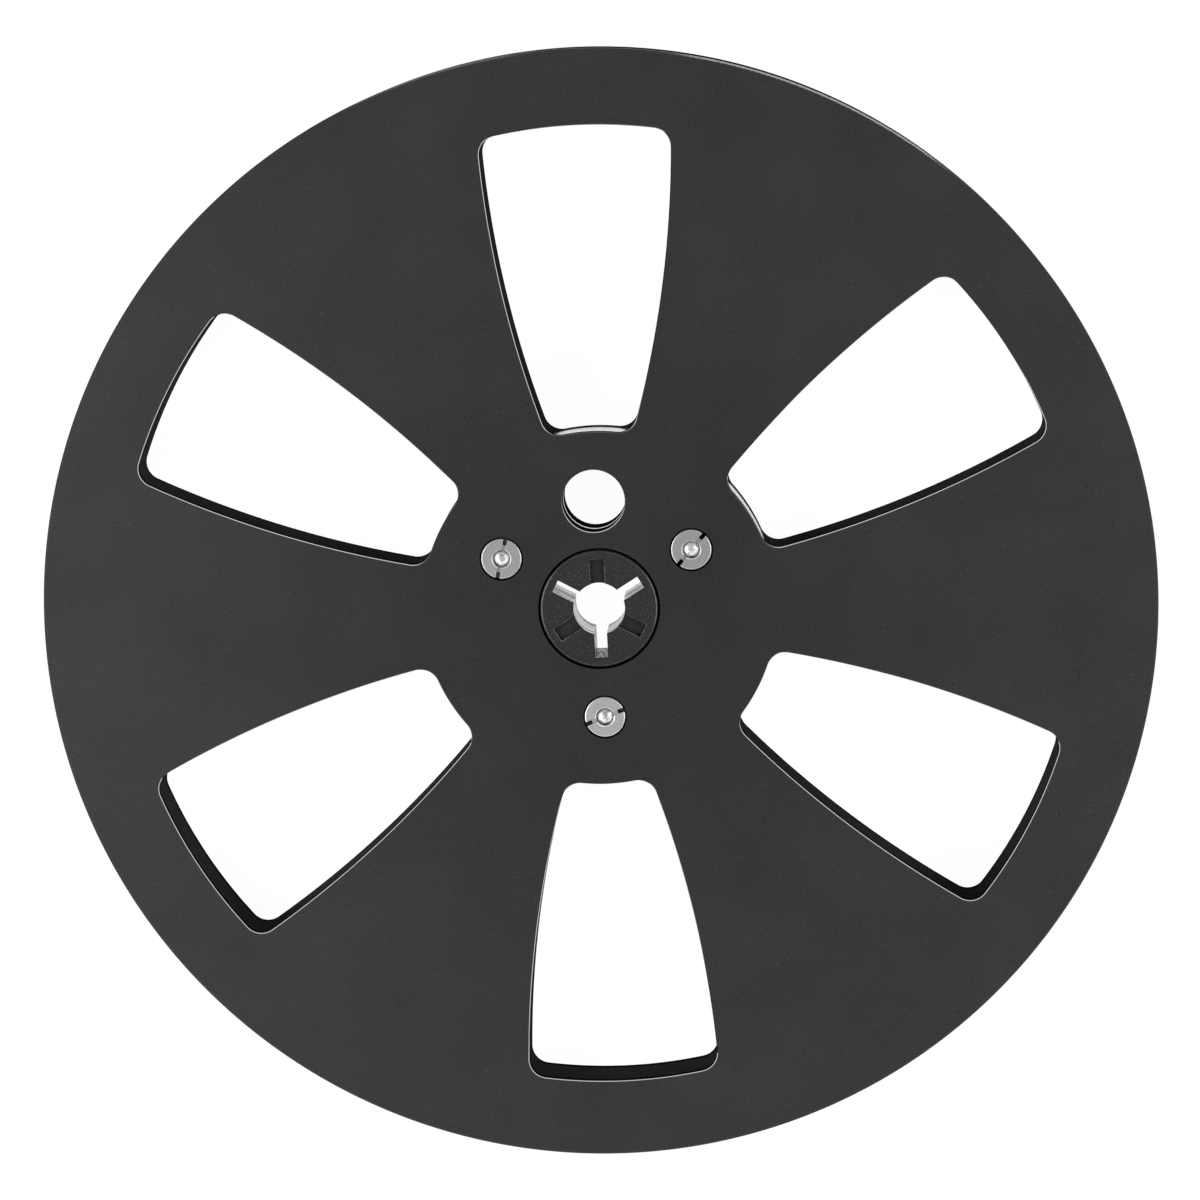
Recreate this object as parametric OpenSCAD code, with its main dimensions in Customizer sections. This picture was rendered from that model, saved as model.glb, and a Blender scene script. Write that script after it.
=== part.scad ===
// Seven-inch metal tape reel: two windowed flanges on a split hub, clamped by three sleeve nuts and screws.
// It lies flat with its rear face at z = 0 and its nut side up, centred on the spindle axis.
// The threading hole is on +Y. The rear flange and rear hub half are the front ones turned over.

/* [Reel] */
// Outer diameter of both flanges
reel_d = 178; // [170:0.5:190]
// Overall thickness, rear face to front face
reel_w = 11.5; // [10.5:0.1:14]
// Thickness of each flange
flange_t = 1.6; // [1.3:0.1:2]
// Bevel along both edges of a flange's rim
rim_bevel = 0.25; // [0.1:0.05:0.4]

/* [Windows] */
// Number of windows in each flange
window_count = 6; // [3:3:6]
// Width of the rim outside the windows
rim_w = 12.05; // [8:0.05:16]
// Width of a window at its inner end, before rounding
window_inner_w = 13.4; // [10:0.1:18]
// Width of a window at its outer end, before rounding
window_outer_w = 30.6; // [24:0.1:38]
// Radius of a window's bowed sides
window_side_r = 170; // [120:5:400]
// Radius of a window's corners
window_corner_r = 3; // [1.5:0.1:5]
// Step from the hub's rim out to the windows
window_step = 0.15; // [0.05:0.05:1]

/* [Hub] */
// Diameter that the tape winds on
hub_d = 56.4; // [54:0.1:60]
// Wall of the hub's rim
hub_rim_t = 3; // [2:0.1:5]
// Thickness of each half's web at the middle of the hub
web_t = 1; // [0.6:0.1:1.6]
// Bevel of each half along the seam
seam_bevel = 0.2; // [0.1:0.05:0.3]
// Diameter of the centre boss
boss_d = 18.8; // [18:0.1:20]
// Bevel round the boss's face
boss_bevel = 0.25; // [0.1:0.05:0.5]
// Gap between the boss and a flange's centre hole
boss_gap = 0.36; // [0.1:0.02:0.6]

/* [Spindle hole] */
// Diameter of the bore
bore_d = 8.26; // [8:0.02:9]
// Width of the three drive slots
slot_w = 2.05; // [1.6:0.05:2.1]
// Distance from the axis to a slot's end
slot_reach = 7.9; // [7:0.05:8.5]
// Width of the three lock recesses between the slots
recess_w = 2.3; // [1.8:0.1:3]
// Depth of the lock recesses
recess_depth = 0.6; // [0.2:0.1:1.5]

/* [Threading hole] */
// Diameter of the hole that a finger turns the reel by
finger_d = 10; // [8:0.1:12]

/* [Nuts and screws] */
// How far the screws lie out from the middle of the web
screw_shift = 0.2; // [-1:0.1:1]
// Diameter of the nuts' and screws' heads
head_d = 6.5; // [6:0.1:7.5]
// Thickness of a head, which lies flush in a counterbore
head_t = 1; // [0.8:0.05:1.2]
// Bevel round a head's outer edge
head_bevel = 0.15; // [0.05:0.05:0.3]
// Gap round a head
head_gap = 0.23; // [0.1:0.01:0.4]
// Diameter of a nut's sleeve
sleeve_d = 4.3; // [4.2:0.1:5]
// Gap round a sleeve
sleeve_gap = 0.05; // [0.02:0.01:0.15]
// Gap between a sleeve's end and the screw's head
sleeve_end_gap = 0.2; // [0.1:0.1:1]
// Diameter of the screw's thread
thread_d = 2.8; // [2.5:0.1:3]
// Gap round the thread in the sleeve
thread_gap = 0.02; // [0.01:0.01:0.05]
// Depth of the screw's tip below the front face
tip_depth = 0.4; // [0.1:0.1:1]
// Bevel of the screw's tip
tip_bevel = 0.4; // [0.2:0.1:0.6]
// Depth of the bevel round the mouth of a nut's thread
mouth_bevel = 0.15; // [0.1:0.05:0.4]
// Width of the driver slots
driver_w = 0.7; // [0.5:0.05:1]
// Depth of the driver slot in a screw's head
driver_depth = 0.6; // [0.4:0.05:0.75]
// Depth of the driver slot across a nut's sleeve
nut_slot_depth = 0.4; // [0.2:0.05:0.75]
// Diameter of the hub's posts round the sleeves
post_d = 9; // [7:0.1:10]
// Directions of the three nuts' driver slots
nut_turns = [47, 75, 19];
// Directions of the three screws' driver slots
screw_turns = [20, 102, 64];

/* [Hidden] */
$fn = 96;
// How far a cut runs past the face that it opens
cut = 0.5;
mid_z = reel_w / 2;
flange_z = reel_w - flange_t;
head_z = reel_w - head_t;
tip_z = reel_w - tip_depth;
// Where a nut's driver slot becomes a through notch, just outside the sleeve
notch_x = sleeve_d / 2 + 0.05;
hub_r = hub_d / 2;
// The middle of the web, half way from the boss to the rim's wall
finger_r = (boss_d / 2 + hub_r - hub_rim_t) / 2;
screw_r = finger_r + screw_shift;
window_inner_r = hub_r + window_step;
window_outer_r = reel_d / 2 - rim_w;
// Three slots, three screws: one third of a turn apart, the first at 30 degrees
third_angles = [30, 150, 270];
anodised = "#39393b";
bare_metal = "#c8c8ca";
steel = "#aeb0b3";

function polar(r, a) = r * [cos(a), sin(a)];
function heading(v) = atan2(v[1], v[0]);
function left_of(v) = [-v[1], v[0]];
// Points along an arc, without its last one
function arc(c, r, a0, a1, n) = [for (i = [0:n - 1]) c + polar(r, a0 + (a1 - a0) * i / n)];
// Where a circle of radius ra round the origin crosses a circle round b, clockwise of the line to b
function crossing(ra, b, rb) =
    let (d = norm(b), k = (ra * ra - rb * rb + d * d) / (2 * d), u = b / d)
    k * u - sqrt(ra * ra - k * k) * left_of(u);

// Right half of a window that lies along +Y: outer arc, corner, bowed side, corner, inner arc
function window_half() =
    let (inner_x = window_inner_w / 2,
        outer_x = window_outer_w / 2,
        inner = [inner_x, sqrt(pow(window_inner_r, 2) - pow(inner_x, 2))],
        outer = [outer_x, sqrt(pow(window_outer_r, 2) - pow(outer_x, 2))],
        chord = outer - inner,
        bow = sqrt(pow(window_side_r, 2) - pow(norm(chord) / 2, 2)),
        side_c = (inner + outer) / 2 + bow * left_of(chord) / norm(chord),
        r = window_corner_r,
        outer_c = crossing(window_outer_r - r, side_c, window_side_r - r),
        inner_c = crossing(window_inner_r + r, side_c, window_side_r - r),
        outer_a = heading(outer_c),
        inner_a = heading(inner_c),
        top_a = heading(outer_c - side_c),
        foot_a = heading(inner_c - side_c))
    concat(arc([0, 0], window_outer_r, 90, outer_a, 12),
        arc(outer_c, r, outer_a, top_a, 12),
        arc(side_c, window_side_r, top_a, foot_a, 24),
        arc(inner_c, r, foot_a, inner_a - 180, 12),
        arc([0, 0], window_inner_r, inner_a, 90, 6),
        [[0, window_inner_r]]);

module window_outline() {
    right = window_half();
    left = [for (i = [len(right) - 2:-1:1]) [-right[i][0], right[i][1]]];
    polygon(concat(right, left));
}

// Turns the front part over about the Y axis, which makes it the rear part
module turned_over() {
    translate([0, 0, reel_w]) rotate([0, 180, 0]) children();
}

module at_screw(i) {
    translate(polar(screw_r, third_angles[i])) children();
}

module finger_hole(z0, z1) {
    translate([0, finger_r, z0]) cylinder(d = finger_d, h = z1 - z0);
}

module sleeve_hole(z0, z1) {
    translate([0, 0, z0]) cylinder(d = sleeve_d + 2 * sleeve_gap, h = z1 - z0);
}

// A radial groove from the axis out to its square end
module groove(angle, width, reach, z0, z1) {
    rotate([0, 0, angle]) translate([0, -width / 2, z0]) cube([reach, width, z1 - z0]);
}

module flange_plate() {
    r = reel_d / 2;
    b = rim_bevel;
    rotate_extrude()
        polygon([[boss_d / 2 + boss_gap, flange_z], [r - b, flange_z], [r, flange_z + b],
            [r, reel_w - b], [r - b, reel_w], [boss_d / 2 + boss_gap, reel_w]]);
}

module flange() {
    color(anodised) difference() {
        flange_plate();
        for (i = [0:window_count - 1])
            rotate([0, 0, i * 360 / window_count])
                translate([0, 0, flange_z - cut])
                    linear_extrude(flange_t + 2 * cut) window_outline();
        finger_hole(flange_z - cut, reel_w + cut);
        for (i = [0:2]) at_screw(i) {
            sleeve_hole(flange_z - cut, reel_w + cut);
            translate([0, 0, head_z]) cylinder(d = head_d + 2 * head_gap, h = head_t + cut);
        }
    }
}

// Rim, web and boss in one turned section, from the seam up to the boss's face
module hub_turning() {
    rim_in = hub_r - hub_rim_t;
    boss_r = boss_d / 2;
    floor_z = mid_z + web_t;
    rotate_extrude()
        polygon([[0, mid_z], [hub_r - seam_bevel, mid_z], [hub_r, mid_z + seam_bevel],
            [hub_r, flange_z], [rim_in, flange_z], [rim_in, floor_z], [boss_r, floor_z],
            [boss_r, reel_w - boss_bevel], [boss_r - boss_bevel, reel_w], [0, reel_w]]);
}

module hub_half() {
    color(bare_metal) difference() {
        union() {
            hub_turning();
            for (i = [0:2]) at_screw(i)
                translate([0, 0, mid_z]) cylinder(d = post_d, h = flange_z - mid_z);
        }
        translate([0, 0, mid_z - cut]) cylinder(d = bore_d, h = reel_w - mid_z + 2 * cut);
        for (a = third_angles) {
            groove(a, slot_w, slot_reach, mid_z - cut, reel_w + cut);
            groove(a + 60, recess_w, slot_reach, reel_w - recess_depth, reel_w + cut);
        }
        finger_hole(mid_z - cut, mid_z + web_t + cut);
        for (i = [0:2]) at_screw(i) sleeve_hole(mid_z - cut, flange_z + cut);
    }
}

// A sleeve with a round head. The driver slot is shallow across the sleeve,
// and cuts the head right through outside it.
module sleeve_nut(i) {
    foot_z = head_t + sleeve_end_gap;
    thread_hole_d = thread_d + 2 * thread_gap;
    color(steel) at_screw(i) difference() {
        union() {
            translate([0, 0, head_z]) cylinder(d = head_d, h = head_t - head_bevel);
            translate([0, 0, reel_w - head_bevel])
                cylinder(d1 = head_d, d2 = head_d - 2 * head_bevel, h = head_bevel);
            translate([0, 0, foot_z]) cylinder(d = sleeve_d, h = reel_w - foot_z);
        }
        translate([0, 0, foot_z - cut]) cylinder(d = thread_hole_d, h = reel_w);
        translate([0, 0, reel_w - mouth_bevel])
            cylinder(d1 = thread_hole_d, d2 = thread_hole_d + 4 * mouth_bevel, h = 2 * mouth_bevel);
        rotate([0, 0, nut_turns[i]]) {
            translate([-head_d / 2 - cut, -driver_w / 2, reel_w - nut_slot_depth])
                cube([head_d + 2 * cut, driver_w, nut_slot_depth + cut]);
            for (side = [0, 180]) rotate([0, 0, side])
                translate([notch_x, -driver_w / 2, head_z])
                    cube([head_d / 2, driver_w, head_t + cut]);
        }
    }
}

// A screw with a flat slotted head in the rear flange and its tip just below the nut's face
module screw(i) {
    r = thread_d / 2;
    color(steel) at_screw(i) difference() {
        rotate_extrude()
            polygon([[0, 0], [head_d / 2 - head_bevel, 0], [head_d / 2, head_bevel],
                [head_d / 2, head_t], [r, head_t],
                [r, tip_z - tip_bevel], [r - tip_bevel, tip_z], [0, tip_z]]);
        rotate([0, 0, screw_turns[i]])
            translate([-head_d / 2 - cut, -driver_w / 2, -cut])
                cube([head_d + 2 * cut, driver_w, driver_depth + cut]);
    }
}

module front_flange() { flange(); }
module rear_flange() { turned_over() flange(); }
module front_hub_half() { hub_half(); }
module rear_hub_half() { turned_over() hub_half(); }
module nut_upper_right() { sleeve_nut(0); }
module nut_upper_left() { sleeve_nut(1); }
module nut_bottom() { sleeve_nut(2); }
module screw_upper_right() { screw(0); }
module screw_upper_left() { screw(1); }
module screw_bottom() { screw(2); }

front_flange();
rear_flange();
front_hub_half();
rear_hub_half();
nut_upper_right();
nut_upper_left();
nut_bottom();
screw_upper_right();
screw_upper_left();
screw_bottom();
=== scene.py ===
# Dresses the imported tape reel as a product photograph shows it: blasted black flanges with bright-cut
# window edges, a turned bare-metal hub, steel sleeve nuts and screws. Everything is in the CAD part's own
# frame: the camera, the lamps and the floor in metres, sizes and spacings on the reel in millimetres.
from math import atan2, cos, degrees, hypot, radians, sin

import bmesh
import bpy
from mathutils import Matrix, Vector


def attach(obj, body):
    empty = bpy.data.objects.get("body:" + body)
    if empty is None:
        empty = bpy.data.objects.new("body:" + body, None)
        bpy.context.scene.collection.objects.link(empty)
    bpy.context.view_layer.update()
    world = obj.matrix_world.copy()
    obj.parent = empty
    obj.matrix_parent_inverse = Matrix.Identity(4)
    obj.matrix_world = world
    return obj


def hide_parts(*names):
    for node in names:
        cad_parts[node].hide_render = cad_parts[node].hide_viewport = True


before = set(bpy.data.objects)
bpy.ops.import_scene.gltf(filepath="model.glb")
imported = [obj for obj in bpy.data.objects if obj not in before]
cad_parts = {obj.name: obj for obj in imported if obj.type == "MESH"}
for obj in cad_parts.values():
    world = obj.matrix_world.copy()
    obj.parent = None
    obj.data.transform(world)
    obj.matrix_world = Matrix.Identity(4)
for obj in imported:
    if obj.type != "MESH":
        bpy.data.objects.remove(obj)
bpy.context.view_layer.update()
mm = 0.001
print("reel: frame loaded,", len(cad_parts), "parts")


# The reel's own sizes, as the CAD part has them
reel = {
    "faceRadius": 89.0,
    "rimBevel": 0.25,
    "width": 11.5,
    "flangeThickness": 1.6,
    "hubRadius": 28.2,
    "bossRadius": 9.4,
    "boreRadius": 4.13,
    "recessDepth": 0.6,
    "slotAngle": 30,  # degrees to the first of three drive slots
    "screwRadius": 17.5,
    "headDepth": 1.0,
    "holeY": 17.3,  # the threading hole's place on Y, and its radius
    "holeRadius": 5.0,
}


# Camera

cameraValues = {
    "place": (0.032585, 0.106985, 0.826429),
    "turn": (-7.48721, 1.87718, -3.0508),  # degrees, XYZ
    "lens": 154.678,
    "sensor": 36.0,
    "clip": (0.01, 60),
}


def makeCamera():
    data = bpy.data.cameras.new("camera")
    data.lens = cameraValues["lens"]
    data.sensor_width = cameraValues["sensor"]
    data.clip_start, data.clip_end = cameraValues["clip"]
    camera = bpy.data.objects.new("camera", data)
    camera.location = cameraValues["place"]
    camera.rotation_euler = [radians(a) for a in cameraValues["turn"]]
    bpy.context.scene.collection.objects.link(camera)
    bpy.context.scene.camera = camera


makeCamera()
print("reel: camera placed")


# Shader maths as Python expressions

class Wire:  # one output socket of a node tree
    def __init__(self, tree, socket=None):
        self.tree = tree
        self.socket = socket

    def add(self, kind, settings=None, sockets=None, output=0):  # settings come before sockets
        made = self.tree.nodes.new("ShaderNode" + kind)
        for name, value in (settings or {}).items():
            if name == "stops":
                setStops(made.color_ramp, value)
            else:
                setattr(made, name, value)
        for name, value in (sockets or {}).items():
            if isinstance(value, Wire):
                self.tree.links.new(value.socket, made.inputs[name])
            else:
                made.inputs[name].default_value = value
        return Wire(self.tree, made.outputs[output] if made.outputs else None)

    def maths(self, operation, *values):
        return self.add("Math", {"operation": operation}, dict(enumerate(values)))

    def __add__(self, other):
        return self.maths("ADD", self, other)

    def __radd__(self, other):
        return self.maths("ADD", other, self)

    def __sub__(self, other):
        return self.maths("SUBTRACT", self, other)

    def __rsub__(self, other):
        return self.maths("SUBTRACT", other, self)

    def __mul__(self, other):
        return self.maths("MULTIPLY", self, other)

    def __rmul__(self, other):
        return self.maths("MULTIPLY", other, self)

    def __lt__(self, other):
        return self.maths("LESS_THAN", self, other)


colourMix = {"share": 0, "low": 6, "high": 7, "result": 2}  # the Mix node's sockets for colours, by number


def setStops(ramp, stops):
    while len(ramp.elements) < len(stops):
        ramp.elements.new(1)
    for element, (place, value) in zip(ramp.elements, stops):
        element.position = place
        element.color = grey(value)


def newMaterial(name):
    material = bpy.data.materials.new(name)
    material.use_nodes = True
    material.node_tree.nodes.clear()
    return material, Wire(material.node_tree)


def grey(value):
    return (value, value, value, 1)


def between(start, share, low, high):  # a colour from low to high as share goes from 0 to 1
    sockets = {colourMix["share"]: share, colourMix["low"]: low, colourMix["high"]: high}
    return start.add("Mix", {"data_type": "RGBA"}, sockets, output=colourMix["result"])


def ramp(start, value, low, high):  # 0 below low, 1 above high, smooth in between
    settings = {"interpolation_type": "SMOOTHSTEP"}
    return start.add("MapRange", settings, {"Value": value, "From Min": low, "From Max": high})


def inMillimetres(start, centre=(0, 0, 0), stretch=(1, 1, 1)):
    place = start.add("TexCoord", output="Object")
    scale = [s / mm for s in stretch]
    offset = [-s / mm * c for s, c in zip(stretch, centre)]
    return start.add("Mapping", sockets={"Vector": place, "Scale": scale, "Location": offset})


def noise(start, place, spacing, detail=2.0, rough=0.5):
    sockets = {"Vector": place, "Scale": 1 / spacing, "Detail": detail, "Roughness": rough}
    return start.add("TexNoise", sockets=sockets)


def toolLines(start, distance, spacing):  # the fine rings or lines of a lathe, along one distance
    return start.add("TexNoise", {"noise_dimensions": "1D"}, {"W": distance * (1 / spacing), "Detail": 2})


def heightOn(start, place):
    return start.add("SeparateXYZ", sockets={0: place}, output="Z")


def fromAxis(start, place):  # distance from the Z axis through the pattern's centre
    flat = start.add("VectorMath", {"operation": "MULTIPLY"}, {0: place, 1: (1, 1, 0)})
    return start.add("VectorMath", {"operation": "LENGTH"}, {0: flat}, output="Value")


def relief(start, height):  # height in millimetres
    return start.add("Bump", sockets={"Height": height, "Distance": mm})


def finishSurface(start, **sockets):
    named = {name.replace("_", " "): value for name, value in sockets.items()}
    shader = start.add("BsdfPrincipled", sockets=named)
    start.add("OutputMaterial", sockets={"Surface": shader})


# Blacks. A range holds the noise values at which a mark starts and is whole.

blastedValues = {
    "dark": 0.021,
    "light": 0.037,
    "toneRange": (0.32, 0.68),
    "grainSpacing": 0.24,
    "cloudSpacing": 14,  # slow drift of the tone
    "cloudShare": 0.25,
    "pitSpacing": 0.50,  # single struck spots, a little lighter or darker than the rest
    "lightPits": (0.68, 0.76),
    "lightPitShare": 0.6,
    "darkPits": (0.24, 0.32),
    "fleckSpacing": 0.28,  # bright points where the blasting broke through
    "fleckRange": (0.63, 0.73),
    "fleckLevel": 0.12,
    "grainHeight": 0.005,
    "roughness": 0.35,
    "roughnessDrift": 0.1,
    "specular": 0.35,
    "speckSpacing": 9.0,  # dust
    "speckRadius": 0.07,
    "speckLevel": 0.11,
    "paintedInnerShade": 0.22,  # painted shade: the black is made a little deeper towards the middle
    "innerRadius": 20,
    "outerRadius": 65,
}


def blastedBlack(name, contrast=1, flecks=0):  # anodised over fine bead blasting, with some dust
    v = blastedValues
    material, start = newMaterial(name)
    place = inMillimetres(start)
    grain = noise(start, place, v["grainSpacing"], rough=0.6)
    pits = noise(start, place, v["pitSpacing"], detail=1)
    clouds = noise(start, place, v["cloudSpacing"])
    tone = grain * (1 - v["cloudShare"]) + clouds * v["cloudShare"]
    middle = (v["light"] + v["dark"]) / 2
    half = (v["light"] - v["dark"]) / 2 * contrast
    base = between(start, ramp(start, tone, *v["toneRange"]), grey(middle - half), grey(middle + half))
    lightPit = grey(v["light"] * (1 + contrast / 2))
    base = between(start, ramp(start, pits, *v["lightPits"]) * v["lightPitShare"], base, lightPit)
    base = between(start, 1 - ramp(start, pits, *v["darkPits"]), base, grey(v["dark"] / 2))
    fleck = ramp(start, noise(start, place, v["fleckSpacing"], detail=1), *v["fleckRange"])
    base = between(start, fleck * flecks, base, grey(v["fleckLevel"]))
    # painted shade: the black is deepened inside the outer radius, fully inside the inner radius
    inner = 1 - ramp(start, fromAxis(start, place), v["innerRadius"], v["outerRadius"])
    base = between(start, inner * v["paintedInnerShade"], base, grey(0))
    cells = {"voronoi_dimensions": "2D", "feature": "F1"}
    sockets = {"Vector": place, "Scale": 1 / v["speckSpacing"]}
    fromSpeck = start.add("TexVoronoi", cells, sockets, output="Distance")
    speck = fromSpeck < v["speckRadius"] / v["speckSpacing"]
    finishSurface(start, Base_Color=between(start, speck, base, grey(v["speckLevel"])),
                  Roughness=v["roughness"] + grain * v["roughnessDrift"], Specular_IOR_Level=v["specular"],
                  Normal=relief(start, grain * v["grainHeight"] * contrast))
    return material


machinedValues = {
    "lineStretch": (0.3, 0.3, 6),
    "lineSpacing": 1.0,
    "fineSpacing": 0.3,
    "lineShare": 0.5,
    "toneRange": (0.3, 0.7),
    "roughness": 0.6,
    "roughnessDrift": 0.1,
}


def machinedBlack(name, dark, light, specular=0.1):  # anodised over a milled wall or floor
    v = machinedValues
    material, start = newMaterial(name)
    lines = noise(start, inMillimetres(start, stretch=v["lineStretch"]), v["lineSpacing"])
    fine = noise(start, inMillimetres(start), v["fineSpacing"])
    tone = lines * v["lineShare"] + fine * (1 - v["lineShare"])
    colour = between(start, ramp(start, tone, *v["toneRange"]), grey(dark), grey(light))
    rough = v["roughness"] + lines * v["roughnessDrift"]
    finishSurface(start, Base_Color=colour, Roughness=rough, Specular_IOR_Level=specular)
    return material


edgeValues = {
    "dark": 0.010,
    "light": 0.020,
    "fineSpacing": 0.5,
    "roughnessDrift": 0.05,
}


def edgeBlack(name, rough, specular):  # anodised over a turned bevel, smoother than the blasted faces
    v = edgeValues
    material, start = newMaterial(name)
    fine = noise(start, inMillimetres(start), v["fineSpacing"], detail=3)
    colour = between(start, fine, grey(v["dark"]), grey(v["light"]))
    rough = rough + fine * v["roughnessDrift"]
    finishSurface(start, Base_Color=colour, Roughness=rough, Specular_IOR_Level=specular)
    return material


wornValues = {
    "black": 0.02,
    "patchSpacing": 0.9,
    "patchRange": (0.38, 0.62),
    "roughness": 0.3,
}


def wornEdge(name, bare, metallic):  # a corner where the black is rubbed through in places
    v = wornValues
    material, start = newMaterial(name)
    patches = noise(start, inMillimetres(start), v["patchSpacing"], detail=4, rough=0.7)
    worn = ramp(start, patches, *v["patchRange"])
    colour = between(start, worn, grey(v["black"]), grey(bare))
    finishSurface(start, Base_Color=colour, Metallic=worn * metallic, Roughness=v["roughness"])
    return material


# Bare aluminium

cutValues = {
    "black": 0.02,
    "dark": (0.56, 0.56, 0.57, 1),
    "light": (0.70, 0.70, 0.71, 1),
    "spacing": 0.2,
    "roughness": 0.04,
    "reach": 100,  # the radius at which the ramp of bare and black ends
    "bareOrShadedByRadius": ((0, 1.0), (15, 1.0), (19, 0.0), (27, 0.0), (28.7, 0.15), (30, 1.0)),  # 1 bare, 0 black, by radius; the black from 19 to 28.7 is painted shade
}


def brightCut():  # the narrow bevel cut after anodising, made black near the hub: painted shade
    v = cutValues
    material, start = newMaterial("brightCut")
    place = inMillimetres(start)
    stops = [(radius / v["reach"], bare) for radius, bare in v["bareOrShadedByRadius"]]
    # bare is 1 for the cut metal, 0 where the cut is painted black as shade
    bare = start.add("ValToRGB", {"stops": stops}, {"Fac": fromAxis(start, place) * (1 / v["reach"])})
    metal = between(start, noise(start, place, v["spacing"]), v["dark"], v["light"])
    colour = between(start, bare, grey(v["black"]), metal)
    finishSurface(start, Base_Color=colour, Metallic=bare, Roughness=v["roughness"])
    return material


turnedValues = {
    "dark": (0.56, 0.56, 0.57, 1),
    "light": (0.74, 0.74, 0.75, 1),
    "lineSpacing": 0.09,
    "lineHeight": 0.002,
    "driftSpacing": 5,
    "driftShare": 0.4,
    "roughness": 0.21,
    "roughnessDrift": 0.12,
}


def turnedAluminium():  # the rim that the tape winds on, with the tool's fine rings
    v = turnedValues
    material, start = newMaterial("turnedAluminium")
    place = inMillimetres(start)
    lines = toolLines(start, heightOn(start, place), v["lineSpacing"])
    drift = noise(start, place, v["driftSpacing"])
    tone = lines * (1 - v["driftShare"]) + drift * v["driftShare"]
    finishSurface(start, Base_Color=between(start, tone, v["dark"], v["light"]), Metallic=1,
                  Roughness=v["roughness"] + lines * v["roughnessDrift"],
                  Normal=relief(start, lines * v["lineHeight"]))
    return material


milledValues = {
    "bandLength": 6.0,  # the bands run round the bore
    "bandHeight": 1.6,
    "bandRange": (0.40, 0.58),
    "bandShare": 0.3,
    # painted light and shade on the bare metal by depth, from 0 at the face to 1 at the seam
    "boreLightAndShade": ((0, 1.0), (0.14, 1.0), (0.22, 0.0), (0.42, 0.15), (0.62, 0.85), (1, 0.75)),
    "slotLightAndShade": ((0, 1.0), (0.50, 0.95), (0.85, 0.45), (1, 0.10)),
    "tearSpacing": 0.55,  # torn places, darker than the cut metal
    "tearStretch": (1, 1, 0.2),  # the cutters drag them out along the axis
    "tearFade": 0.08,
    "tearHeight": 0.02,
    "tornLevel": 0.10,  # of the cut metal's colour
    "roughness": 0.26,
    "roughnessDrift": 0.14,
    "specular": 0.1,
}


def milledAluminium(name, lightAndShade, light, torn, grazing):  # bore and drive slots, cut after anodising, with painted light and shade by depth
    v = milledValues
    material, start = newMaterial(name)
    place = inMillimetres(start)
    marks = inMillimetres(start, stretch=v["tearStretch"])
    fine = noise(start, marks, v["tearSpacing"], detail=3, rough=0.65)
    length, height = 1 / v["bandLength"], 1 / v["bandHeight"]
    bands = noise(start, inMillimetres(start, stretch=(length, length, height)), 1)  # 1 is one band
    z = heightOn(start, place)
    depth = start.maths("MINIMUM", z, reel["width"] - z) * (2 / reel["width"])
    # painted light and shade: the metal is made brighter or darker by its depth
    tone = start.add("ValToRGB", {"stops": v[lightAndShade]}, {"Fac": depth}) * (1 - v["bandShare"])
    tone = tone + ramp(start, bands, *v["bandRange"]) * v["bandShare"]
    # untorn metal, times the painted light and shade
    cleanAndLit = tone * ramp(start, fine, torn, torn + v["tearFade"])
    colour = between(start, cleanAndLit, grey(light * v["tornLevel"]), grey(light))
    finishSurface(start, Base_Color=colour, Metallic=cleanAndLit,
                  Roughness=v["roughness"] + fine * v["roughnessDrift"],
                  Specular_IOR_Level=v["specular"], Specular_Tint=grey(grazing),
                  Normal=relief(start, fine * v["tearHeight"]))
    return material


slotEndValues = {
    "dark": 0.02,
    "light": 0.60,
    "tearStretch": (1, 1, 0.12),
    "tearSpacing": 0.32,
    "tearRange": (0.42, 0.56),
    "tearHeight": 0.03,
    "roughness": 0.4,
    "specular": 0.1,
    "grazing": 0.42,
}


def tornAluminium():  # the ends of the drive slots, left rough by the broach
    v = slotEndValues
    material, start = newMaterial("slotEnd")
    marks = inMillimetres(start, stretch=v["tearStretch"])
    fine = noise(start, marks, v["tearSpacing"], detail=2, rough=0.6)
    bare = ramp(start, fine, *v["tearRange"])
    colour = between(start, bare, grey(v["dark"]), grey(v["light"]))
    finishSurface(start, Base_Color=colour, Metallic=bare, Roughness=v["roughness"],
                  Specular_IOR_Level=v["specular"], Specular_Tint=grey(v["grazing"]),
                  Normal=relief(start, fine * v["tearHeight"]))
    return material


# Steel

facedValues = {
    "dark": (0.62, 0.61, 0.62),
    "light": (0.84, 0.83, 0.84),
    "ringSpacing": 0.10,
    "ringHeight": 0.001,
    "ringShare": 0.4,
    "fineSpacing": 0.3,
    "fineHeight": 0.003,
    "roughness": 0.37,
    "roughnessDrift": 0.1,
}


def facedSteel(name, centre, paintedLightLevel=1):  # faced on the lathe, so its rings run round the head's own axis
    v = facedValues
    material, start = newMaterial(name)
    place = inMillimetres(start, centre)
    rings = toolLines(start, fromAxis(start, place), v["ringSpacing"])
    fine = noise(start, place, v["fineSpacing"], detail=3, rough=0.6)
    # the level lightens or darkens the whole face: painted light and shade, one nut to another
    dark, light = ([paintedLightLevel * c for c in v[end]] + [1] for end in ("dark", "light"))
    tone = rings * v["ringShare"] + fine * (1 - v["ringShare"])
    finishSurface(start, Base_Color=between(start, tone, dark, light), Metallic=1,
                  Roughness=v["roughness"] + fine * v["roughnessDrift"],
                  Normal=relief(start, rings * v["ringHeight"] + fine * v["fineHeight"]))
    return material


plainValues = {
    "dark": (0.30, 0.30, 0.31, 1),
    "light": (0.48, 0.48, 0.49, 1),
    "fineSpacing": 0.4,
    "roughness": 0.3,
    "roughnessDrift": 0.1,
}


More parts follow.
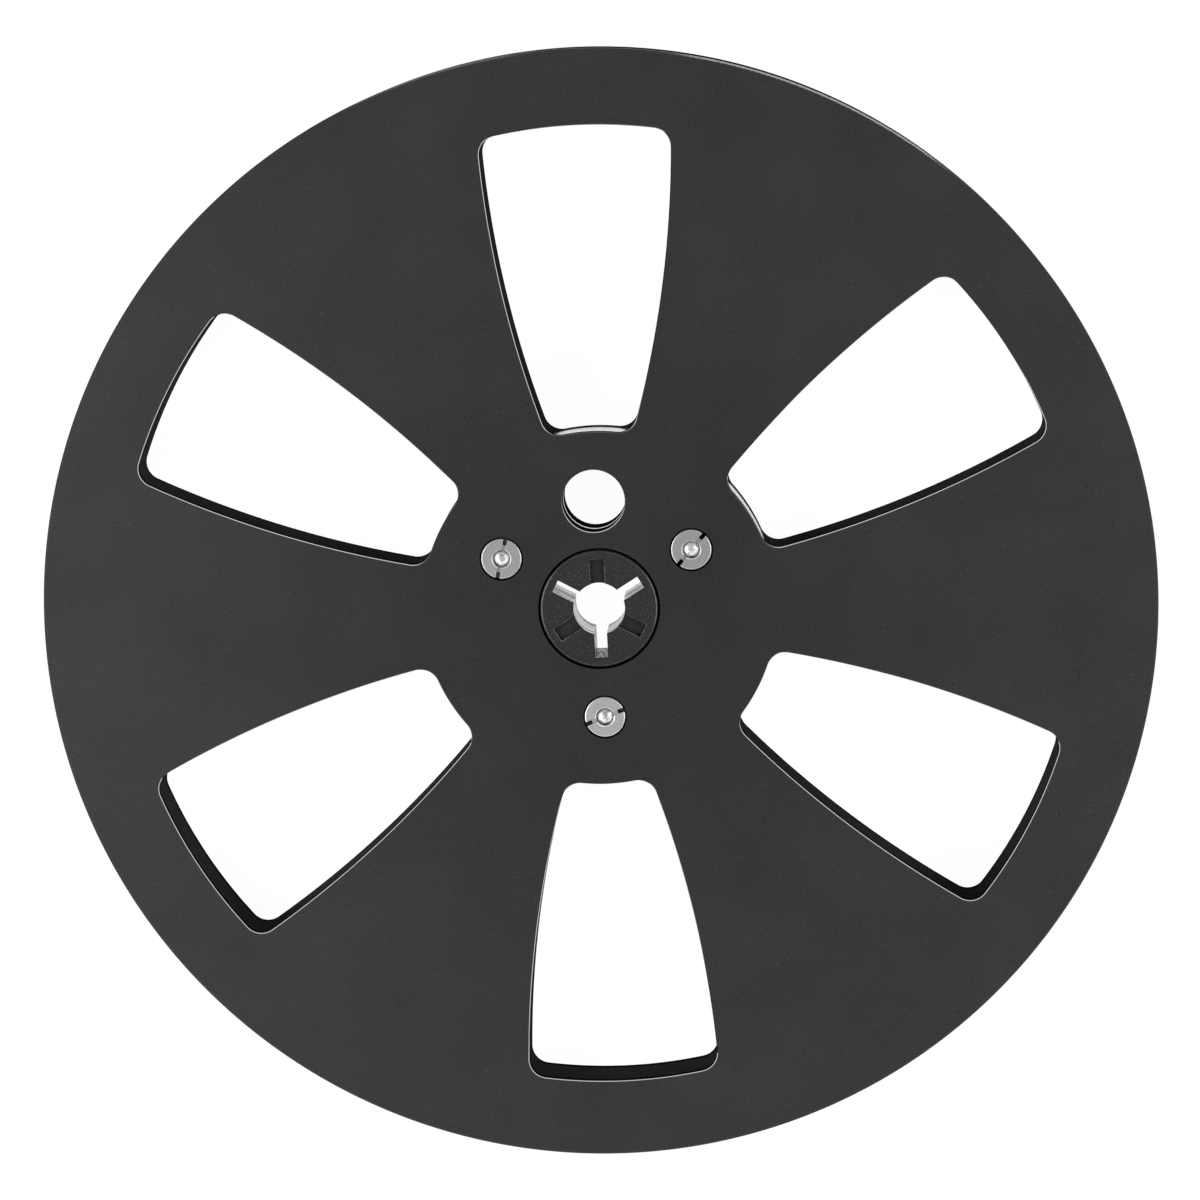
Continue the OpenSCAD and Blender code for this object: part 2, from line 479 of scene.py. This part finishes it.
def plainSteel():  # sleeves, slots and threads
    v = plainValues
    material, start = newMaterial("plainSteel")
    fine = noise(start, inMillimetres(start), v["fineSpacing"], detail=3)
    finishSurface(start, Base_Color=between(start, fine, v["dark"], v["light"]), Metallic=1,
                  Roughness=v["roughness"] + fine * v["roughnessDrift"])
    return material


burredValues = {
    "dark": (0.55, 0.55, 0.56, 1),
    "light": (0.96, 0.96, 0.97, 1),
    "dentSpacing": 0.6,
    "dentRange": (0.34, 0.56),
    "dentHeight": 0.05,
    "roughness": 0.45,
}


def burredSteel():  # the screw's cut end: bright, uneven and a little dented
    v = burredValues
    material, start = newMaterial("burredSteel")
    dents = noise(start, inMillimetres(start), v["dentSpacing"], detail=3, rough=0.6)
    colour = between(start, ramp(start, dents, *v["dentRange"]), v["dark"], v["light"])
    finishSurface(start, Base_Color=colour, Metallic=1, Roughness=v["roughness"],
                  Normal=relief(start, dents * v["dentHeight"]))
    return material


# Lights, world and floor

lightValues = {
    "zenith": 0.22,  # world level overhead
    "horizon": 0.43,  # world level at the horizon
    "rise": (0.05, 0.75),  # the heights between which one turns into the other
    "lamps": {
        "backRight": {"place": (0.565, 1.125, 0.036), "size": (0.70, 0.036), "power": 2.2},
        "backLeft": {"place": (-0.39, 1.20, 0.036), "size": (0.42, 0.036), "power": 0.35},
        "left": {"place": (-0.32, 0.0, 0.22), "size": (0.36, 0.30), "power": 1.35},
        "right": {"place": (0.32, 0.0, 0.22), "size": (0.36, 0.20), "power": 0.8},
        "front": {"place": (0.0, -0.5, 0.45), "size": (0.9, 0.2), "power": 0.9},
    },
}

floorValues = {
    "radius": 4,
    "sides": 96,
    "drop": 0.0001,  # below the reel's rear face
    "colour": 0.8,
    "glow": 1.12,  # seen by the camera and in metal, over the floor's own shaded colour
    "glowShare": 0.86,
}


def rayKind(start, kind):  # 1 for the rays of one kind
    return start.add("LightPath", output="Is " + kind + " Ray")


def makeWorld():
    world = bpy.data.worlds.new("studio")
    bpy.context.scene.world = world
    world.use_nodes = True
    world.node_tree.nodes.clear()
    start = Wire(world.node_tree)
    direction = start.add("TexCoord", output="Generated")
    up = ramp(start, heightOn(start, direction), *lightValues["rise"])
    levels = {"Value": up, "To Min": lightValues["horizon"], "To Max": lightValues["zenith"]}
    studio = start.add("MapRange", sockets=levels)
    mirrored = start.maths("MAXIMUM", rayKind(start, "Glossy"), rayKind(start, "Transmission"))
    white = start.maths("MAXIMUM", rayKind(start, "Camera"), mirrored * (1 - up))
    strength = studio * (1 - white) + white
    background = start.add("Background", sockets={"Color": grey(1), "Strength": strength})
    start.add("OutputWorld", sockets={"Surface": background})


def makeLamp(name, values):
    data = bpy.data.lights.new(name, "AREA")
    data.shape = "RECTANGLE"
    data.size, data.size_y = values["size"]
    data.energy = values["power"]
    lamp = bpy.data.objects.new(name, data)
    lamp.location = values["place"]
    lamp.rotation_euler = (-Vector(values["place"])).to_track_quat("-Z", "Y").to_euler()
    bpy.context.scene.collection.objects.link(lamp)


def paleFloor():  # white to the camera and in reflections, matte elsewhere, and clear from below
    v = floorValues
    material, start = newMaterial("paleFloor")
    white = start.maths("MAXIMUM", rayKind(start, "Camera"), rayKind(start, "Glossy"))
    white = start.maths("MAXIMUM", white, rayKind(start, "Transmission"))
    matte = start.add("BsdfDiffuse", sockets={"Color": grey(v["colour"])})
    glow = start.add("Emission", sockets={"Color": grey(1), "Strength": v["glow"]})
    lit = start.add("MixShader", sockets={0: white * v["glowShare"], 1: matte, 2: glow})
    below = start.add("NewGeometry", output="Backfacing")
    clear = start.add("BsdfTransparent")
    surface = start.add("MixShader", sockets={0: below, 1: lit, 2: clear})
    start.add("OutputMaterial", sockets={"Surface": surface})
    return material


def makeFloor():
    v = floorValues
    bm = bmesh.new()
    bmesh.ops.create_circle(bm, cap_ends=True, segments=v["sides"], radius=v["radius"])
    bmesh.ops.translate(bm, verts=bm.verts, vec=(0, 0, -v["drop"]))
    mesh = bpy.data.meshes.new("floor")
    bm.to_mesh(mesh)
    bm.free()
    mesh.materials.append(paleFloor())
    floor = bpy.data.objects.new("floor", mesh)
    bpy.context.scene.collection.objects.link(floor)


makeWorld()
for name, values in lightValues["lamps"].items():
    makeLamp(name, values)
makeFloor()
print("reel: studio lit")


# Pieces

pieceValues = {
    "nearly": 0.01,  # how far apart two equal sizes may measure
    "wallTilt": 0.3,  # a face whose normal has less of Z than this is a wall
    "flatTilt": 0.9,  # with more than this it is flat, and in between it is a bevel
    "levelTilt": 0.9999,  # with more than this it lies level
    "sharpAngle": 20,  # degrees from which an edge is one of the part's own
    "shadeAngle": 25,  # degrees from which an edge is shaded sharp
    "levelAngle": 1,  # and from which one of a level face is
    "mergeDistance": 0.0005,
    "flatAngle": 0.05,  # degrees under which neighbouring faces become one
}


def mergedCopy(nodeName):  # the CAD node's triangles, merged into one clean shell
    v = pieceValues
    bm = bmesh.new()
    bm.from_mesh(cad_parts[nodeName].data)
    bmesh.ops.remove_doubles(bm, verts=bm.verts, dist=v["mergeDistance"] * mm)
    bmesh.ops.dissolve_limit(bm, angle_limit=radians(v["flatAngle"]), verts=bm.verts, edges=bm.edges)
    return bm


def bevel(bm, edges, width, material, segments=1):
    bmesh.ops.bevel(bm, geom=edges, offset=width * mm, offset_type="OFFSET", affect="EDGES",
                    segments=segments, profile=0.5, material=material, loop_slide=False)


def radiusOf(point):
    return hypot(point.x, point.y) / mm


def middleOf(edge):
    return (edge.verts[0].co + edge.verts[1].co) / 2


def fromHole(point):  # distance from the threading hole's axis
    return hypot(point.x / mm, point.y / mm - reel["holeY"])


def isWall(face):
    return abs(face.normal.z) < pieceValues["wallTilt"]


def isFlat(face):
    return abs(face.normal.z) > pieceValues["flatTilt"]


def near(size, other):
    return abs(size - other) < pieceValues["nearly"]


def levelAt(edge, height):  # both ends lie at this height
    return all(near(v.co.z / mm, height) for v in edge.verts)


def sharp(edge, least=pieceValues["sharpAngle"]):
    return len(edge.link_faces) == 2 and degrees(edge.calc_face_angle(0)) > least


def shade(bm, keepFlat):  # smooth but for the sharp edges, and for the level faces' where these stay flat
    v = pieceValues
    bm.normal_update()
    for f in bm.faces:
        f.smooth = True
    for e in bm.edges:
        atLevel = any(abs(f.normal.z) > v["levelTilt"] for f in e.link_faces)
        e.smooth = not sharp(e, v["levelAngle"] if keepFlat and atLevel else v["shadeAngle"])


def numbered(materials):  # each finish's number in a piece's list of materials
    return {finish: number for number, finish in enumerate(materials)}


def addPiece(bm, pieceName, nodeName, materials, keepFlat=True):
    shade(bm, keepFlat)
    mesh = bpy.data.meshes.new(pieceName)
    bm.to_mesh(mesh)
    bm.free()
    normals = mesh.attributes.get("custom_normal")  # the CAD node's own, which no longer fit
    if normals:
        mesh.attributes.remove(normals)
    for material in materials.values():
        mesh.materials.append(material)
    piece = bpy.data.objects.new(pieceName, mesh)
    bpy.context.scene.collection.objects.link(piece)
    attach(piece, "root")
    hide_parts(nodeName)


# Flanges

flangeValues = {
    "cutWidth": 0.10,  # bright-cut bevel round the windows and the threading hole
    "rimCuts": 2,  # extra points between the rim's own, so that it is round
    "rimMargin": 0.4,  # how far in from the outer radius the rim's own faces reach
    "windowBand": (27, 84),  # the radii between which an edge is a window's
    "holeMargin": 0.3,  # and how far from its radius one of the threading hole's
}


def setRadius(vert, radius):
    share = radius / radiusOf(vert.co)
    vert.co.x *= share
    vert.co.y *= share


def evenRim(bm, innerZ, outerZ):  # lays the rim's bevels and wall anew in quads, so that they shade evenly
    v = flangeValues
    outer, step = reel["faceRadius"], reel["rimBevel"]
    least = outer - v["rimMargin"]
    sides = [f for f in bm.faces if not isFlat(f) and radiusOf(f.calc_center_median()) > least]
    bmesh.ops.delete(bm, geom=sides, context="FACES")
    ends = [e for e in bm.edges if e.is_boundary]
    bmesh.ops.subdivide_edges(bm, edges=ends, cuts=v["rimCuts"])
    ends = [e for e in bm.edges if e.is_boundary]
    for vert in {vert for e in ends for vert in e.verts}:
        setRadius(vert, outer - step)
    loop = [e for e in ends if levelAt(e, outerZ)]
    last = [e for e in ends if e not in loop]
    inwards = 1 if innerZ > outerZ else -1
    for height in (outerZ + step * inwards, innerZ - step * inwards):
        made = bmesh.ops.extrude_edge_only(bm, edges=loop)["geom"]
        verts = {g for g in made if isinstance(g, bmesh.types.BMVert)}
        for vert in verts:
            setRadius(vert, outer)
            vert.co.z = height * mm
        edges = [g for g in made if isinstance(g, bmesh.types.BMEdge)]
        loop = [e for e in edges if all(vert in verts for vert in e.verts)]
    bmesh.ops.bridge_loops(bm, edges=loop + last)
    bmesh.ops.recalc_face_normals(bm, faces=bm.faces)


def flangeFinish(face, faceZ):
    centre = face.calc_center_median()
    depth = abs(centre.z / mm - faceZ)
    if isWall(face):
        atRim = radiusOf(centre) > reel["faceRadius"] - flangeValues["rimMargin"]
        return "rimWall" if atRim else "wall"
    if not isFlat(face):
        return "rimBevel" if depth < reel["rimBevel"] else "wall"
    return "wall" if near(depth, reel["headDepth"]) else "face"  # a counterbore's floor is as its wall


def makeFlange(nodeName, pieceName, faceZ, materials):
    v = flangeValues
    number = numbered(materials)
    bm = mergedCopy(nodeName)
    evenRim(bm, abs(faceZ - reel["flangeThickness"]), faceZ)
    for f in bm.faces:
        f.material_index = number[flangeFinish(f, faceZ)]
    least, most = v["windowBand"]

    def isCut(edge):  # the edge of a window or of the threading hole
        middle = middleOf(edge)
        atHole = abs(fromHole(middle) - reel["holeRadius"]) < v["holeMargin"]
        return atHole or least < radiusOf(middle) < most

    cut = [e for e in bm.edges if sharp(e) and levelAt(e, faceZ) and isCut(e)]
    bevel(bm, cut, v["cutWidth"], number["cut"])
    print("reel:", pieceName, "bevelled at", len(cut), "edges,", len(bm.faces), "faces")
    addPiece(bm, pieceName, nodeName, materials)


flangeMaterials = {
    "face": blastedBlack("blastedFlange"),
    # black anodised walls and counterbore floors, made darker than the faces and without sheen: partly
    # painted shade
    "wall": machinedBlack("flangeWall", dark=0.004, light=0.010, specular=0),
    "cut": brightCut(),
    "rimBevel": edgeBlack("rimBevel", rough=0.12, specular=0.3),
    "rimWall": edgeBlack("rimWall", rough=0.3, specular=0.3),
}
makeFlange("front_flange", "frontFlange", reel["width"], flangeMaterials)
makeFlange("rear_flange", "rearFlange", 0, flangeMaterials)


# Hub halves

hubValues = {
    "edgeWidth": 0.08,  # bevel round the bore, the drive slots and the lock recesses
    "cornerWidth": 0.05,  # worn corner between the boss's face and its bevel
    "seamWidth": 0.07,  # bevel of the bore and the slots where the halves meet
    "bossWall": 1,  # least distance from the boss's edge to the bore, slots and recesses
    "slotEndDepth": 1.8,  # a wall this near to the boss's edge is a slot's end
    "slotSpread": 25,  # degrees to either side of a drive slot's middle
    "bandMargin": 0.3,  # how far the faces and bevels of each round wall are from its own radius
    "boreMargin": 0.3,
    "holeMargin": 0.1,
    "cornerMargin": 0.4,
}


def hubFinish(face, faceZ):
    v = hubValues
    centre = face.calc_center_median()
    r = radiusOf(centre)
    inner = reel["bossRadius"] - v["bossWall"]
    deepest = max(abs(vert.co.z / mm - faceZ) for vert in face.verts)
    atRecess = near(deepest, reel["recessDepth"])
    if isFlat(face):
        return "recess" if r < reel["bossRadius"] and atRecess else "face"
    if r > reel["hubRadius"] - v["bandMargin"]:
        return "band"
    if not isWall(face):
        return "bossBevel"
    if r < inner and not atRecess:
        if r > reel["bossRadius"] - v["slotEndDepth"]:
            return "slotEnd"
        return "slot" if r > reel["boreRadius"] + v["boreMargin"] else "bore"
    atHole = fromHole(centre) < reel["holeRadius"] + v["holeMargin"]
    return "webEdge" if atHole and near(deepest, reel["width"] / 2) else "face"


def atSlot(point):  # on the edge of the bore or of a drive slot, rather than of a lock recess
    v = hubValues
    third = 360 / 3
    turn = (degrees(atan2(point.y, point.x)) - reel["slotAngle"] + third / 2) % third - third / 2
    return abs(turn) < v["slotSpread"] or radiusOf(point) < reel["boreRadius"] + v["boreMargin"]


def makeHubHalf(nodeName, pieceName, faceZ, materials):
    v = hubValues
    number = numbered(materials)
    bm = mergedCopy(nodeName)

    def around(depth):  # the sharp edges of the bore, slots and recesses at one depth
        inner = reel["bossRadius"] - v["bossWall"]
        edges = [e for e in bm.edges if sharp(e) and levelAt(e, abs(faceZ - depth))]
        return [e for e in edges if radiusOf(middleOf(e)) < inner]

    for f in bm.faces:
        f.material_index = number[hubFinish(f, faceZ)]
    bevel(bm, around(0), v["edgeWidth"], number["recessMouth"])
    for f in bm.faces:
        if f.material_index == number["recessMouth"] and atSlot(f.calc_center_median()):
            f.material_index = number["slotMouth"]
    top = [e for e in bm.edges if sharp(e) and levelAt(e, faceZ)]
    corner = [e for e in top if abs(radiusOf(e.verts[0].co) - reel["bossRadius"]) < v["cornerMargin"]]
    bevel(bm, corner, v["cornerWidth"], number["corner"])
    bevel(bm, around(reel["width"] / 2), v["seamWidth"], number["bore"])
    print("reel:", pieceName, "bevelled,", len(bm.faces), "faces")
    addPiece(bm, pieceName, nodeName, materials)


hubMaterials = {
    "face": blastedBlack("blastedHub", contrast=1.3, flecks=0.9),
    "band": turnedAluminium(),
    "bore": milledAluminium("milledBore", "boreLightAndShade", light=0.90, torn=0.30, grazing=0.85),
    # milled black floor of the lock recesses, made darker than the face: partly painted shade in the
    # recess
    "recess": machinedBlack("recessFloor", dark=0.014, light=0.032),
    "slotEnd": tornAluminium(),
    "bossBevel": edgeBlack("bossBevel", rough=0.2, specular=0.5),
    "recessMouth": wornEdge("wornMouth", bare=0.22, metallic=0.6),
    "corner": wornEdge("wornCorner", bare=0.08, metallic=0.2),
    # the rear half's web edge at the threading hole: black, painted shade; the front half's is bare metal
    "webEdge": machinedBlack("webEdge", dark=0.01, light=0.02, specular=0),
    "slot": milledAluminium("slotWall", "slotLightAndShade", light=0.88, torn=0.36, grazing=0.95),
    # the bore's and slots' mouth bevel: near black and without sheen, darker than the face, a thin dark
    # line
    "slotMouth": machinedBlack("mouthBevel", dark=0.003, light=0.006, specular=0),
}
frontMaterials = {**hubMaterials, "webEdge": hubMaterials["band"]}  # its web is bare at the hole, where the rear half's is painted shade in black
makeHubHalf("front_hub_half", "frontHubHalf", reel["width"], frontMaterials)
makeHubHalf("rear_hub_half", "rearHubHalf", 0, hubMaterials)


# Sleeve nuts and screws

fastenerValues = {
    "slotEdge": 0.04,  # bevel of a nut's slot
    "slotAngle": 60,  # degrees from which an edge of the face is the slot's
    "shoulder": 0.04,  # rounding of both edges of a nut head's bevel
    "shoulderAngle": 35,  # degrees from which an edge is one of these
    "shoulderRadius": 3,  # their least distance from the nut's axis
    "shoulderDepth": 0.2,  # and their greatest from the reel's front face
    "tipRings": ((0.20, 0.11), (0.25, 0.09), (0.25, 0.06)),  # inset and rise of each ring of the domed tip
    "tipLength": 0.9,  # the screw's bright end, from the reel's front face down
    "endTilt": 0.99,  # a face of the tip whose normal has more of Z than this is its flat end
    "faceTilt": 0.6,  # and one of a head, its face, down to the next two depths
    "nutFaceDepth": 0.5,
    "screwFaceDepth": 0.3,
}

fasteners = {  # where each stands, in degrees round the hub, and the painted light or shade on its nut's face
    "upper_right": {"angle": 30, "paintedLightLevel": 0.90},
    "upper_left": {"angle": 150, "paintedLightLevel": 0.92},
    "bottom": {"angle": 270, "paintedLightLevel": 1.14},
}


def screwCentre(angle):
    radius = reel["screwRadius"] * mm
    return Vector((radius * cos(radians(angle)), radius * sin(radians(angle)), 0))


def shoulderEdges(bm, centre):  # both edges of a nut head's bevel, which catch the light all round
    v = fastenerValues

    def atShoulder(edge):
        middle = middleOf(edge) - centre
        height = middle.z / mm
        atTop = levelAt(edge, height) and abs(height - reel["width"]) < v["shoulderDepth"]
        return atTop and radiusOf(middle) > v["shoulderRadius"]

    return [e for e in bm.edges if sharp(e, v["shoulderAngle"]) and atShoulder(e)]


def makeNut(nodeName, pieceName, centre, paintedLightLevel, side):
    v = fastenerValues
    materials = {"face": facedSteel(pieceName + "Face", centre, paintedLightLevel), "side": side}
    number = numbered(materials)
    bm = mergedCopy(nodeName)
    for f in bm.faces:
        depth = reel["width"] - f.calc_center_median().z / mm
        onTop = f.normal.z > v["faceTilt"] and depth < v["nutFaceDepth"]
        f.material_index = number["face" if onTop else "side"]
    slotEdges = [e for e in bm.edges if sharp(e, v["slotAngle"]) and levelAt(e, reel["width"])]
    bevel(bm, slotEdges, v["slotEdge"], number["face"])
    bevel(bm, shoulderEdges(bm, centre), v["shoulder"], number["face"], segments=2)
    addPiece(bm, pieceName, nodeName, materials)


def makeScrew(nodeName, pieceName, centre, side, tip):
    v = fastenerValues
    materials = {"face": facedSteel(pieceName + "Face", centre), "side": side, "tip": tip}
    number = numbered(materials)
    bm = mergedCopy(nodeName)
    for f in bm.faces:
        z = f.calc_center_median().z / mm
        onHead = f.normal.z < -v["faceTilt"] and z < v["screwFaceDepth"]
        finish = "tip" if z > reel["width"] - v["tipLength"] else "side"
        f.material_index = number["face" if onHead else finish]
    end = [f for f in bm.faces if f.normal.z > v["endTilt"] and f.material_index == number["tip"]]
    for width, rise in v["tipRings"]:
        bmesh.ops.inset_region(bm, faces=end, thickness=width * mm, depth=rise * mm, use_even_offset=True)
    addPiece(bm, pieceName, nodeName, materials, keepFlat=False)


sideSteel, tipSteel = plainSteel(), burredSteel()
for place, values in fasteners.items():
    label, centre = place.title().replace("_", ""), screwCentre(values["angle"])
    makeNut("nut_" + place, "nut" + label, centre, values["paintedLightLevel"], sideSteel)
    makeScrew("screw_" + place, "screw" + label, centre, sideSteel, tipSteel)
print("reel: nuts and screws in place")


# Output

bpy.context.scene.view_settings.view_transform = "Standard"
